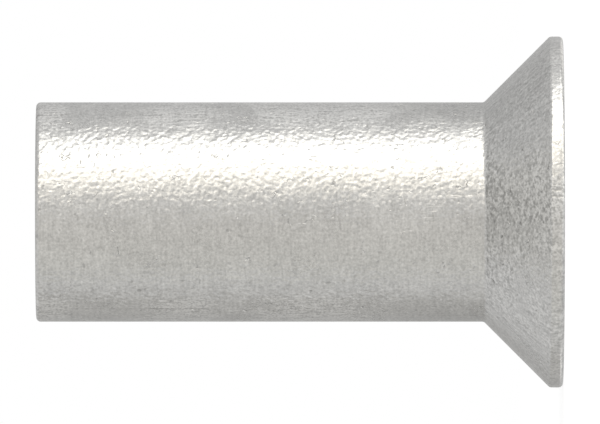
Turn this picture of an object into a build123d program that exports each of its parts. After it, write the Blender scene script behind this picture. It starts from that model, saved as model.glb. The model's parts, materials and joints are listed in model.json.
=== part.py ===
from build123d import *
from math import cos, pi, radians, tan
import os

# A sleeve nut with a flat countersunk head, turned in one piece from bar.
# A screw enters the open end of the sleeve, and a hexagon key holds the nut by its head.
# The nut stands on its head: the origin is the centre of the head's flat face, and
# +Z runs up the sleeve to its open end. Lengths are in millimetres, angles in degrees.

# Outside
overall_length = 12.0
sleeve_wall = 0.5  # from the root of the thread to the outside of the sleeve
head_overhang = 1.5  # how far the head stands out past the sleeve
seat_angle = 90.0  # cone under the head, from side to side
rim_height = 0.3  # straight edge between the cone and the flat face
edge_radius = 0.1  # every outer edge, and the corner under the head

# Blind hole for the thread, as it is drilled and countersunk before tapping
thread_diameter = 4.0
thread_pitch = 0.7
thread_mouth_oversize = 0.3  # how much wider than the thread its mouth is
thread_mouth_angle = 90.0
drill_point_angle = 118.0

# Hexagon socket, broached over a pilot hole
socket_width = 2.5  # across flats
socket_depth = 1.8
socket_mouth_oversize = 0.1  # how much wider than the hexagon's corners its mouth is
socket_mouth_angle = 90.0
pilot_oversize = 0.06  # how much wider than the flats the pilot hole is
chip_room = 0.15  # how much deeper than the hexagon the pilot hole is
web_thickness = 0.9  # metal between the points of the two drilled holes


def cone_height(radius, angle):
    """Height over which a cone of this full angle widens by this radius."""
    return radius / tan(radians(angle / 2))


# Head and sleeve
sleeve_radius = thread_diameter / 2 + sleeve_wall
head_radius = sleeve_radius + head_overhang
head_height = rim_height + cone_height(head_overhang, seat_angle)

# Socket, measured up from the flat face
pilot_radius = (socket_width + pilot_oversize) / 2
socket_corner_radius = socket_width / 2 / cos(pi / 6)
socket_mouth_radius = socket_corner_radius + socket_mouth_oversize / 2
socket_mouth_top = cone_height(socket_mouth_radius - pilot_radius, socket_mouth_angle)
pilot_top = socket_depth + chip_room
pilot_point = pilot_top + cone_height(pilot_radius, drill_point_angle)

# Threaded hole, measured down from the open end to the web
bore_radius = (thread_diameter - thread_pitch) / 2
bore_mouth_radius = (thread_diameter + thread_mouth_oversize) / 2
bore_mouth_height = cone_height(bore_mouth_radius - bore_radius, thread_mouth_angle)
bore_point = pilot_point + web_thickness
bore_bottom = bore_point + cone_height(bore_radius, drill_point_angle)

with BuildPart() as sleeve_nut:
    # Turned blank, from its half section with every corner off the axis rounded
    with BuildSketch(Plane.XZ) as half_section:
        with BuildLine():
            Polyline(
                (0, 0),
                (head_radius, 0),
                (head_radius, rim_height),
                (sleeve_radius, head_height),
                (sleeve_radius, overall_length),
                (0, overall_length),
                close=True,
            )
        make_face()
        corners = half_section.vertices().group_by(Axis.X)[1:]
        fillet(corners, radius=edge_radius)
    revolve(axis=Axis.Z)

    # Hole for the thread: countersunk mouth, straight wall and drill point
    with BuildSketch(Plane.XZ):
        with BuildLine():
            Polyline(
                (0, overall_length),
                (bore_mouth_radius, overall_length),
                (bore_radius, overall_length - bore_mouth_height),
                (bore_radius, bore_bottom),
                (0, bore_point),
                close=True,
            )
        make_face()
    revolve(axis=Axis.Z, mode=Mode.SUBTRACT)

    # Pilot hole of the socket: countersunk mouth, straight wall and drill point
    with BuildSketch(Plane.XZ):
        with BuildLine():
            Polyline(
                (0, 0),
                (socket_mouth_radius, 0),
                (pilot_radius, socket_mouth_top),
                (pilot_radius, pilot_top),
                (0, pilot_point),
                close=True,
            )
        make_face()
    revolve(axis=Axis.Z, mode=Mode.SUBTRACT)

    # Hexagon broached over the pilot hole
    with BuildSketch(Plane.XY):
        RegularPolygon(radius=socket_width / 2, side_count=6, major_radius=False)
    extrude(amount=socket_depth, mode=Mode.SUBTRACT)

sleeve_nut.part.label = "sleeve_nut"
os.makedirs("parts", exist_ok=True)
export_step(sleeve_nut.part, "parts/sleeve_nut.step")
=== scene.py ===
import json
from math import acos, cos, pi, radians, sin, tan

import bmesh
import bpy
import numpy as np
from mathutils import Matrix, Vector


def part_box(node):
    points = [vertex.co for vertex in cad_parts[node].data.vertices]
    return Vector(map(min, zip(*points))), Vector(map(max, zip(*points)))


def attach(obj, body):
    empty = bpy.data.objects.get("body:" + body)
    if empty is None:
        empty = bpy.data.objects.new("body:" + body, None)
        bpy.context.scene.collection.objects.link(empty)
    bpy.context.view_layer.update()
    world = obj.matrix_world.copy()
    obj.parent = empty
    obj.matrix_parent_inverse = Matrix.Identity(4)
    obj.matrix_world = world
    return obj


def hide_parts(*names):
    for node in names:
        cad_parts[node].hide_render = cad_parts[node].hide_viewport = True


# The finished look of a countersunk sleeve nut: its skin with rounded edges, the broached
# hexagon socket, the helical thread, and a tumbled steel finish. The mesh is laid out in
# millimetres from the centre of the head's flat face, +Z up the sleeve.

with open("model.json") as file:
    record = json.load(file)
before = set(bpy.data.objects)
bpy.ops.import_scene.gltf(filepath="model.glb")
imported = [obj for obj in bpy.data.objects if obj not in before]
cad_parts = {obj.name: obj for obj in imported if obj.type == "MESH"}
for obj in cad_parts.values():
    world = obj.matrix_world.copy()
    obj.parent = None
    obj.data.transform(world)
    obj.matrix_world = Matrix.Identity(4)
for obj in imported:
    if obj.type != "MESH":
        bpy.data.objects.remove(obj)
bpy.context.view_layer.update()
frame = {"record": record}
scene = bpy.context.scene

MM = 0.001

# Sizes that the frame gives, in millimetres
mounts = {mount["name"]: mount for mount in frame["record"]["mounts"]}
low_corner, high_corner = (np.array(corner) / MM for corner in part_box("sleeve_nut"))
overall_length = round(float(high_corner[2] - low_corner[2]), 3)
head_radius = round(float(high_corner[0]), 3)
sleeve_radius = mounts["sleeve"]["dims"]["r_mm"]
bore_radius = mounts["thread"]["dims"]["r_mm"]
pilot_radius = mounts["hex_socket"]["dims"]["r_mm"]

# Outside
rim_height = 0.3
seat_height = head_radius - sleeve_radius  # a 90 degree seat is as high as it is wide
head_height = rim_height + seat_height
edge_radius = 0.1
edge_steps = 12  # faces round a quarter turn
support_width = 0.03  # narrow strips beside the rounded edges keep the flats flat

# Thread, right-handed, in a drilled hole with a 90 degree mouth
thread_pitch = 0.7
root_radius = 2.0
root_width = thread_pitch / 8
flank_angle = 30.0  # from square to the axis
mouth_radius = 2.15
bore_bottom = 4.6105  # height at which the drill's point begins
bore_point = 3.6191
untapped_length = 0.5  # plain wall between the drill's point and the tap's first cut
lead_bottom = bore_bottom + untapped_length
lead_length = 1.4  # height over which the tap's lead cuts deeper
crest_rows, flank_rows, root_rows = 3, 6, 3
spare_turns = 3  # turns past the two ends of the thread, which gather on the end rings

# Hexagon socket, over a pilot hole with a 90 degree mouth
socket_width = 2.5  # across flats
socket_depth = 1.8
socket_mouth_radius = 1.4934
pilot_top = 1.95  # height at which the pilot drill's point begins
pilot_point = 2.7191

# Mesh: a multiple of 12 columns round the axis puts one on every corner and mid-flat
columns = 192
tip_radius = 0.1  # last ring before a drill's point
merge_distance = 1e-4
sharp_angle = radians(9)

# Camera: far off and square to the sleeve, with the head at the right of the picture
pixels_per_mm = 43.87
picture_width = 600
picture_centre = 5.99  # height of the picture's middle, a little towards the head
camera_lens = 1200.0
camera_sensor = 36.0

# Steel
dark_steel = (0.345, 0.343, 0.335, 1.0)
pale_steel = (0.587, 0.583, 0.571, 1.0)
tone_ends = (0.3, 0.7)  # tones at which the steel is darkest and palest
grazing_tint = (0.75, 0.75, 0.75, 1.0)
patch_roughness = (0.26, 0.34)  # in the smoothest patches and in the roughest
skin_depth = 0.0175
streak_squeeze = 0.1  # draws a noise out along the height, into streaks
round_squeeze = 0.15  # draws a noise out round the axis
seat_blend = 0.05  # height over which the seat's finish gives way to the sleeve's

# Worn places on the two flanks of the sleeve, painted paler there as a painted sheen, each with
# its height and reach
wear_and_sheen_places = ((11.75, 0.6), (8.7, 1.1), (5.6, 2.3))
flank_start = (1.85, 2.15)  # a flank sets in between these distances from the middle plane
wear_and_sheen_patchiness = 2.0
wear_and_sheen_start = (1.15, 1.6)  # wear and its painted sheen set in between these strengths
head_shade_end = (2.8, 4.2)  # the painted shade beside the head ends between these heights

# The scratch along each flank, at its distance from the middle plane
scratch_distance = 2.2
scratch_sides = (0.006, 0.02)  # half its width at full depth, and in all
scratch_foot = (7.95, 8.15)
scratch_tail = (9.35, 9.65)
scratch_tail_depth = 0.3

# Glowing panels round the nut, and the studio's white
panel_steps = 20
panel_distance = 0.1  # metres from the middle of the sleeve
first_fade_power, last_fade_power = 2.6, 1.5
studio_white = 1.0
studio_light = 0.6  # on the floor

# Floor, with its half width in metres
floor_half = 0.08
floor_shade = (0.65, 0.65, 0.65, 1.0)
floor_glow = 0.61

# What a remapped value goes from and to
RISING = (0.0, 1.0)
FALLING = (1.0, 0.0)


def unit(vector):
    return vector / np.linalg.norm(vector)


def rounded_line(points, radius):
    """A line of (radius, height) points with its inner corners rounded."""
    points = [np.array(point, float) for point in points]
    line = [points[0]]
    for before, corner, after in zip(points, points[1:], points[2:]):
        back = unit(before - corner)
        ahead = unit(after - corner)
        half = acos(back @ ahead) / 2
        turn = pi - 2 * half
        centre = corner + unit(back + ahead) * radius / sin(half)
        start = corner + back * radius / tan(half)
        end = corner + ahead * radius / tan(half)
        steps = round(edge_steps * turn / (pi / 2))
        line.append(start + back * support_width)
        for step in range(steps + 1):
            share = step / steps
            start_weight = sin((1 - share) * turn) / sin(turn)
            end_weight = sin(share * turn) / sin(turn)
            line.append(centre + (start - centre) * start_weight + (end - centre) * end_weight)
        line.append(end + ahead * support_width)
    line.append(points[-1])
    return line


def ring(radii, heights, around):
    """Points round the axis, one for each column."""
    radii = np.broadcast_to(radii, around.shape)
    heights = np.broadcast_to(heights, around.shape)
    return np.stack([radii * np.cos(around), radii * np.sin(around), heights], axis=-1)


def join_rings(rings, seam_shift=0):
    """Quads between rings; the seam joins a row to the one that many rows on."""
    last = len(rings) - 1
    quads = []
    for row in range(last):
        for column in range(columns):
            beside = (column + 1) % columns
            shift = seam_shift if beside == 0 else 0
            quads.append(
                (
                    row * columns + column,
                    min(row + shift, last) * columns + beside,
                    min(row + 1 + shift, last) * columns + beside,
                    (row + 1) * columns + column,
                )
            )
    return quads


def closed_end(rings, tip_height):
    """Points and faces of rings that end in a point on the axis."""
    points = np.concatenate(rings + [np.array([[0.0, 0.0, tip_height]])])
    faces = join_rings(rings)
    first = (len(rings) - 1) * columns
    for column in range(columns):
        faces.append((first + column, first + (column + 1) % columns, len(points) - 1))
    return points, faces


def outside_surface(around):
    """The turned outside, from the socket's mouth round to the thread's mouth."""
    line = rounded_line(
        [
            (socket_mouth_radius, 0),
            (head_radius, 0),
            (head_radius, rim_height),
            (sleeve_radius, head_height),
            (sleeve_radius, overall_length),
            (mouth_radius, overall_length),
        ],
        edge_radius,
    )
    rings = [ring(radius, height, around) for radius, height in line]
    return np.concatenate(rings), join_rings(rings)


def socket_surface(around):
    """The hexagon, broached over its pilot hole, with the pilot's drill point below it."""
    # Columns beside the edge between a flat and the pilot's wall move on to that edge
    pilot_angle = acos(socket_width / 2 / pilot_radius)
    from_flat = (around % (pi / 3)) - pi / 6
    step = 2 * pi / columns
    beside_flat = np.abs(np.abs(from_flat) - pilot_angle) <= step / 2
    snapped = np.where(beside_flat, np.sign(from_flat) * pilot_angle, from_flat)
    on_wall = around + snapped - from_flat
    wall = np.maximum(socket_width / 2 / np.cos(snapped), pilot_radius)
    tip_ring_height = pilot_top + (pilot_point - pilot_top) * (1 - tip_radius / pilot_radius)
    rings = [
        ring(socket_mouth_radius, 0, around),
        ring(wall, socket_mouth_radius - wall, on_wall),
        ring(wall, socket_depth, on_wall),
        ring(pilot_radius, socket_depth, on_wall),
        ring(pilot_radius, pilot_top, on_wall),
        ring(tip_radius, tip_ring_height, on_wall),
    ]
    return closed_end(rings, pilot_point)


def mouth_wall(height):
    """How far the cone of the thread's mouth is from the axis at a height."""
    return mouth_radius - overall_length + height


def thread_surface(around):
    """The thread, as a lattice of rows that climb one pitch each turn."""
    depth = root_radius - bore_radius
    flank = depth * tan(radians(flank_angle))
    crest = thread_pitch - root_width - 2 * flank
    root_start = crest + flank
    root_end = root_start + root_width
    turn_heights = np.concatenate(
        [
            np.linspace(0, crest, crest_rows, endpoint=False),
            crest + np.linspace(0, flank, flank_rows, endpoint=False),
            root_start + np.linspace(0, root_width, root_rows, endpoint=False),
            root_end + np.linspace(0, flank, flank_rows, endpoint=False),
        ]
    )
    turn_radii = np.interp(
        turn_heights,
        [0, crest, root_start, root_end, thread_pitch],
        [bore_radius, bore_radius, root_radius, root_radius, bore_radius],
    )
    rows_in_turn = len(turn_heights)
    turns = int((overall_length - lead_bottom) / thread_pitch) + spare_turns
    row_heights = np.concatenate([turn_heights + turn * thread_pitch for turn in range(turns)])
    row_heights += lead_bottom - thread_pitch
    heights = row_heights[:, None] + thread_pitch * around[None, :] / (2 * pi)

    # The tap's lead cuts its first turns shallow
    lead = bore_radius + depth * (heights - lead_bottom) / lead_length
    cut = np.maximum(np.minimum(np.tile(turn_radii, turns)[:, None], lead), bore_radius)

    # Rows beside the edge where the thread meets its mouth move on to that edge
    over = cut - mouth_wall(heights)
    for row, column in np.argwhere(over[:-1] * over[1:] < 0):
        share = over[row, column] / (over[row, column] - over[row + 1, column])
        height = heights[row, column] * (1 - share) + heights[row + 1, column] * share
        nearer = row if share < 0.5 else row + 1
        heights[nearer, column] = height
        cut[nearer, column] = mouth_wall(height)
    cut = np.maximum(cut, mouth_wall(heights))

    # Rows past the ends gather on the end rings
    cut = np.where(heights < lead_bottom, bore_radius, cut)
    cut = np.where(heights > overall_length, mouth_radius, cut)
    heights = np.clip(heights, lead_bottom, overall_length)
    rows = ring(cut, heights, np.broadcast_to(around, heights.shape))
    return rows.reshape(-1, 3), join_rings(rows, rows_in_turn)


def bore_end_surface(around):
    """The plain wall below the thread, and the drill's point."""
    point_slope = (bore_bottom - bore_point) / bore_radius
    rings = [
        ring(bore_radius, lead_bottom, around),
        ring(bore_radius, bore_bottom, around),
        ring(tip_radius, bore_point + tip_radius * point_slope, around),
    ]
    return closed_end(rings, bore_point)


def add_object(name, data):
    """A new object in the scene."""
    thing = bpy.data.objects.new(name, data)
    scene.collection.objects.link(thing)
    return thing


def make_nut():
    """The whole nut as one closed mesh, in metres."""
    around = np.arange(columns) * 2 * pi / columns
    surfaces = [
        outside_surface(around),
        socket_surface(around),
        thread_surface(around),
        bore_end_surface(around),
    ]
    points = []
    faces = []
    first = 0
    for surface_points, surface_faces in surfaces:
        points.append(surface_points)
        faces.extend([tuple(first + index for index in face) for face in surface_faces])
        first += len(surface_points)
    mesh = bpy.data.meshes.new("sleeve_nut_threaded")
    mesh.from_pydata(np.concatenate(points).tolist(), [], faces)

    skin = bmesh.new()
    skin.from_mesh(mesh)
    bmesh.ops.remove_doubles(skin, verts=skin.verts, dist=merge_distance)
    bmesh.ops.dissolve_degenerate(skin, edges=skin.edges, dist=merge_distance)
    bmesh.ops.recalc_face_normals(skin, faces=skin.faces)
    bmesh.ops.scale(skin, vec=(MM, MM, MM), verts=skin.verts)
    for face in skin.faces:
        face.smooth = True
    for edge in skin.edges:
        edge.smooth = edge.calc_face_angle(0) < sharp_angle
    skin.to_mesh(mesh)
    skin.free()
    mesh.update()
    return add_object("sleeve_nut_threaded", mesh)


class Nodes:
    """Adds nodes to a material's or world's tree, and joins them."""

    def __init__(self, tree):
        self.tree = tree

    def add(self, kind, inputs=None, **settings):
        node = self.tree.nodes.new("ShaderNode" + kind)
        for name, value in settings.items():
            setattr(node, name, value)
        for name, value in (inputs or {}).items():
            if isinstance(value, bpy.types.NodeSocket):
                self.tree.links.new(value, node.inputs[name])
            else:
                node.inputs[name].default_value = value
        return node

    def set_surface(self, shader):
        self.add("OutputMaterial", {"Surface": shader.outputs[0]})

    def math(self, operation, first, second=0.0):
        node = self.add("Math", {0: first, 1: second}, operation=operation)
        return node.outputs[0]

    def plus(self, first, second):
        return self.math("ADD", first, second)

    def minus(self, first, second):
        return self.math("SUBTRACT", first, second)

    def times(self, first, second):
        return self.math("MULTIPLY", first, second)

    def even(self, noise):
        """A noise about zero instead of about a half."""
        return self.minus(noise, 0.5)

    def distance(self, value, middle):
        """How far a value is from the middle one, to either side."""
        return self.math("ABSOLUTE", self.minus(value, middle))

    def with_shares(self, start, parts):
        """The start, with each part added by its share."""
        total = start
        for part, share in parts:
            total = self.plus(total, self.times(part, share))
        return total

    def remap(self, value, between, to=RISING):
        """Between its two given values, a value goes from the first of the new ones to the
        second, and it stays there beyond them."""
        node = self.add(
            "MapRange",
            {
                "Value": value,
                "From Min": between[0],
                "From Max": between[1],
                "To Min": to[0],
                "To Max": to[1],
            },
        )
        return node.outputs[0]

    def noise(self, vector, scale, detail=2.0, roughness=0.5, distortion=0.0):
        node = self.add(
            "TexNoise",
            {
                "Vector": vector,
                "Scale": scale,
                "Detail": detail,
                "Roughness": roughness,
                "Distortion": distortion,
            },
        )
        return node.outputs["Fac"]

    def vector(self, operation, inputs):
        return self.add("VectorMath", inputs, operation=operation).outputs[0]

    def scaled(self, vector, factors):
        return self.vector("MULTIPLY", {0: vector, 1: factors})


def new_material(name):
    """A material with nothing in its node tree yet, and what adds nodes to it."""
    material = bpy.data.materials.new(name)
    material.use_nodes = True
    material.node_tree.nodes.clear()
    return material, Nodes(material.node_tree)


def flank_wear_and_painted_light(nodes, flank, height, patches):
    """Where the two flanks of the sleeve are worn and painted paler, a painted sheen, where they
    are painted darker beside the head, a painted shade, and their scratch.
    """
    on_sleeve = nodes.remap(height, (head_height - seat_blend, head_height))
    zone = nodes.times(on_sleeve, nodes.remap(flank, flank_start))
    # Worn places, painted paler on the flanks as a painted sheen
    wear_and_sheen = 0.0
    for middle, reach in wear_and_sheen_places:
        near = nodes.remap(nodes.distance(height, middle), (0.0, reach), FALLING)
        wear_and_sheen = nodes.math("MAXIMUM", wear_and_sheen, near)
    wear_and_sheen = nodes.plus(wear_and_sheen, nodes.times(patches, wear_and_sheen_patchiness))
    wear_and_sheen = nodes.times(zone, nodes.remap(wear_and_sheen, wear_and_sheen_start))
    # Painted shade: the flanks are painted darker beside the head
    painted_head_shade = nodes.times(zone, nodes.remap(height, head_shade_end, FALLING))
    scratch = nodes.remap(nodes.distance(flank, scratch_distance), scratch_sides, FALLING)
    foot = nodes.remap(height, scratch_foot)
    tail = nodes.remap(height, scratch_tail, (1.0, scratch_tail_depth))
    return wear_and_sheen, painted_head_shade, nodes.times(scratch, nodes.times(foot, tail))


def tumbled_steel():
    """Bare steel with the fine leathery skin, mottle, scuffs and nicks of tumbling in a barrel."""
    material, nodes = new_material("tumbled_steel")
    on_nut = nodes.add("TexCoord").outputs["Object"]
    millimetres = nodes.vector("SCALE", {0: on_nut, "Scale": 1 / MM})
    place = nodes.add("SeparateXYZ", {0: millimetres}).outputs
    flank = nodes.math("ABSOLUTE", place["X"])
    seat = nodes.remap(place["Z"], (head_height - seat_blend, head_height), FALLING)

    # The skin is finely leathered, like orange peel, with nicks here and there
    pebbles = nodes.noise(millimetres, scale=9.5, detail=0.0, distortion=0.3)
    grain = nodes.noise(millimetres, scale=18.0)
    even_grain = nodes.even(grain)
    patches = nodes.noise(millimetres, scale=1.0, detail=4.0, roughness=0.6)
    nicks = nodes.remap(nodes.noise(millimetres, scale=6.0, detail=1.0), between=(0.68, 0.76))

    # Here and there lies a cluster of short curved marks, where other parts struck it
    wander = nodes.even(nodes.noise(millimetres, scale=5.0, detail=1.0))
    curves = nodes.remap(nodes.math("ABSOLUTE", wander), between=(0.0, 0.02), to=FALLING)
    struck = nodes.remap(nodes.noise(millimetres, scale=3.0), between=(0.62, 0.68))
    marks = nodes.times(curves, struck)

    # Scuffs run up the sleeve and the seat's slope
    upright = nodes.vector(
        "MULTIPLY_ADD",
        {
            0: nodes.vector("NORMALIZE", {0: nodes.scaled(millimetres, (1.0, 1.0, 0.0))}),
            1: (sleeve_radius,) * 3,
            2: nodes.scaled(millimetres, (0.0, 0.0, streak_squeeze)),
        },
    )
    streaks = nodes.noise(upright, scale=9.0, detail=3.0, roughness=0.6, distortion=0.1)
    scratches = nodes.remap(streaks, between=(0.66, 0.72))
    hairlines = nodes.noise(upright, scale=22.0, roughness=0.6)

    # Faint turning marks run round the sleeve
    level = nodes.scaled(millimetres, (round_squeeze, round_squeeze, 1.0))
    turning = nodes.even(nodes.noise(level, scale=14.0, roughness=0.6))
    turning = nodes.times(turning, nodes.minus(1.0, seat))

    # The seat is smoother, and speckled and scuffed instead
    leather = nodes.times(pebbles, nodes.remap(seat, between=(0.0, 1.0), to=(1.0, 0.6)))
    clusters = nodes.remap(patches, between=(0.42, 0.58), to=(0.3, 1.6))
    clusters = nodes.times(seat, clusters)
    clusters = nodes.times(clusters, nodes.remap(flank, between=(0.9, 2.0), to=(1.25, 0.5)))
    speckle = nodes.times(clusters, nodes.plus(even_grain, nodes.even(pebbles)))
    scuffed = nodes.times(seat, nodes.remap(flank, between=(1.2, 2.4), to=(0.1, 0.45)))
    scuffs = nodes.times(scuffed, nodes.even(hairlines))

    height = nodes.with_shares(
        leather,
        (
            (even_grain, nodes.remap(patches, between=(0.5, 0.6), to=(0.1, 0.4))),
            (streaks, 0.05),
            (nicks, -0.3),
            (scratches, -0.15),
            (marks, -0.6),
        ),
    )
    bump = nodes.add("Bump", {"Strength": 1.0, "Distance": skin_depth * MM, "Height": height})

    # Worn places are finely streaked and painted paler, a painted sheen; beside the head the
    # flanks are painted darker, a painted shade
    wear_and_sheen, painted_head_shade, scratch = flank_wear_and_painted_light(nodes, flank, place["Z"], patches)
    streaky = nodes.plus(nodes.times(hairlines, 1.1), nodes.times(grain, 0.7))
    streaky = nodes.minus(streaky, 0.8)
    tone = nodes.with_shares(
        0.075,
        (
            (grain, 0.55),
            (patches, 0.15),
            (streaks, 0.15),
            (turning, 0.3),
            (speckle, 0.4),
            (scuffs, 1.0),
            (nicks, -0.15),
            (scratches, -0.08),
            # worn places painted paler: wear with a painted sheen
            (nodes.times(wear_and_sheen, streaky), 1.0),
            # painted shade: the flanks painted darker beside the head
            (painted_head_shade, -0.08),
            (scratch, -0.2),
        ),
    )
    shade = nodes.add("ValToRGB", {"Fac": tone})
    elements = shade.color_ramp.elements
    for element, tone_end, colour in zip(elements, tone_ends, (dark_steel, pale_steel)):
        element.position = tone_end
        element.color = colour
    shader = nodes.add(
        "BsdfPrincipled",
        {
            "Base Color": shade.outputs[0],
            "Metallic": 1.0,
            "Roughness": nodes.remap(patches, between=(0.35, 0.65), to=patch_roughness),
            "Specular Tint": grazing_tint,
            "Normal": bump.outputs[0],
        },
    )
    nodes.set_surface(shader)
    return material


def make_camera():
    """Looks along +Y, rolled so that +Z runs to the left of the picture."""
    half_width = picture_width / pixels_per_mm / 2
    distance = half_width * camera_lens / (camera_sensor / 2) * MM
    data = bpy.data.cameras.new("camera")
    data.lens = camera_lens
    data.sensor_width = camera_sensor
    data.clip_start = distance / 2
    data.clip_end = distance * 2
    camera = add_object("camera", data)
    right = Vector((0, 0, -1))
    up = Vector((1, 0, 0))
    back = Vector((0, -1, 0))
    turn = Matrix((right, up, back)).transposed().to_4x4()
    centre = Vector((0, 0, picture_centre * MM))
    camera.matrix_world = Matrix.Translation(centre + back * distance) @ turn
    scene.camera = camera


def make_panel(
    name,
    rows,
    colour,
    soft_first=0.15,
    soft_last=0.15,
    distance=panel_distance,
    lights_floor=False,
):
    """A curved glowing panel that stands round the nut. Each row gives an elevation and the
    bearings it runs between, in degrees: a bearing goes round from the camera's side
    towards +X, and an elevation goes up from the middle of the sleeve. The colour is one
    for the whole panel, or a pair: one for each end. A share of the panel at its first
    bearing, and another at its last, fades into the white of the studio."""
    across = panel_steps + 1
    shares = np.linspace(0, 1, across)
    first_fade = np.minimum(shares / soft_first, 1) ** first_fade_power
    last_fade = np.minimum((1 - shares) / soft_last, 1) ** last_fade_power
    full = np.minimum(first_fade, last_fade)
    points = []
    for elevation, first, last in rows:
        bearings = np.radians(first + (last - first) * shares)
        away = cos(radians(elevation))
        points.extend(
            (sin(bearing) * away, -cos(bearing) * away, sin(radians(elevation)))
            for bearing in bearings
        )
    faces = [
        (row + step, row + step + 1, row + across + step + 1, row + across + step)
        for row in range(0, across * (len(rows) - 1), across)
        for step in range(panel_steps)
    ]
    mesh = bpy.data.meshes.new(name)
    mesh.from_pydata((np.array(points) * distance).tolist(), [], faces)
    glow = np.ones((len(rows), across, 4))
    first_colour, last_colour = np.broadcast_to(colour, (2, 3))
    glow[..., :3] += (np.linspace(first_colour, last_colour, across) - 1) * full[:, None]
    mesh.attributes.new("glow", "FLOAT_COLOR", "POINT").data.foreach_set("color", glow.ravel())
    material, nodes = new_material(name)
    painted = nodes.add("Attribute", attribute_name="glow").outputs["Color"]
    nodes.set_surface(nodes.add("Emission", {"Color": painted, "Strength": 1.0}))
    mesh.materials.append(material)
    panel = add_object(name, mesh)
    panel.location = (0, 0, overall_length / 2 * MM)
    panel.visible_camera = False
    panel.visible_diffuse = lights_floor
    panel.visible_shadow = False


def make_world():
    """White where a camera, metal or glass shows it, and softer as light on the floor."""
    world = bpy.data.worlds.new("studio")
    world.use_nodes = True
    scene.world = world
    nodes = Nodes(world.node_tree)
    path = nodes.add("LightPath")
    seen = nodes.math(
        "MAXIMUM",
        nodes.math("MAXIMUM", path.outputs["Is Camera Ray"], path.outputs["Is Glossy Ray"]),
        path.outputs["Is Transmission Ray"],
    )
    strength = nodes.remap(seen, between=(0.0, 1.0), to=(studio_light, studio_white))
    background = world.node_tree.nodes["Background"]
    background.inputs["Color"].default_value = (1.0, 1.0, 1.0, 1.0)
    world.node_tree.links.new(strength, background.inputs["Strength"])


def make_floor():
    """A pale floor that keeps the nut's shadow."""
    mesh = bpy.data.meshes.new("floor")
    corners = [
        (-floor_half, -floor_half, 0),
        (floor_half, -floor_half, 0),
        (floor_half, floor_half, 0),
        (-floor_half, floor_half, 0),
    ]
    mesh.from_pydata(corners, [], [(0, 1, 2, 3)])
    floor = add_object("floor", mesh)
    material, nodes = new_material("floor")
    lit = nodes.add("BsdfDiffuse", {"Color": floor_shade})
    seen = nodes.add("LightPath").outputs["Is Camera Ray"]
    glow = nodes.add("Emission", {"Strength": nodes.times(seen, floor_glow)})
    nodes.set_surface(nodes.add("AddShader", {0: lit.outputs[0], 1: glow.outputs[0]}))
    mesh.materials.append(material)
    floor.visible_glossy = False
    floor.visible_shadow = False


make_camera()
nut = make_nut()
nut.data.materials.append(tumbled_steel())
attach(nut, "root")
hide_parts("sleeve_nut")

# The lamp, whose long reflection runs up the sleeve, and the cards that give the steel its greys
make_panel(
    "key_panel",
    [
        (-70, 14, 116),
        (-42, 8, 110),
        (-14, 5, 110),
        (-8, 0, 95),
        (8, 0, 95),
        (13, -5, 73),
        (22, -8, 59),
    ],
    ((5.8, 5.28, 4.3), (3.3, 3.38, 3.47)),
    soft_first=0.64,
    soft_last=0.28,
    distance=0.09,
    lights_floor=True,
)
make_panel(
    "far_panel",
    [(-27, 210, 262), (-16, 210, 262)],
    (1.95, 1.93, 1.89),
    soft_first=0.3,
    soft_last=0.3,
)
make_panel(
    "front_card",
    [(-40, -88, 45), (0, -88, 45), (40, -88, 45)],
    ((1.0, 0.998, 0.96), (1.045, 1.008, 0.965)),
)
make_panel(
    "low_card",
    [(-13, -212, -88), (24, -212, -88)],
    ((0.79, 0.79, 0.79), (0.801, 0.79, 0.764)),
    soft_last=0.087,
)
make_panel("end_card", [(-85, -60, 150), (-45, -55, 130)], (1.4, 1.4, 1.38))
make_panel(
    "side_panel",
    [(-42, 110, 175), (-16, 110, 175)],
    (1.7, 1.68, 1.64),
    soft_first=0.3,
    soft_last=0.3,
)
make_panel("back_card", [(18, 118, 172), (50, 112, 172), (68, 95, 160)], (0.8, 0.8, 0.8))
make_panel("top_card", [(65, -180, 180), (90, -180, 180)], (0.938, 0.93, 0.904))
make_panel("under_card_right", [(-60, 88, 130), (-18, 88, 130)], (0.65, 0.65, 0.65))
make_panel("under_card_left", [(-60, -95, -55), (-18, -95, -55)], (0.75, 0.75, 0.75))
make_world()
make_floor()
scene.view_settings.view_transform = "Standard"
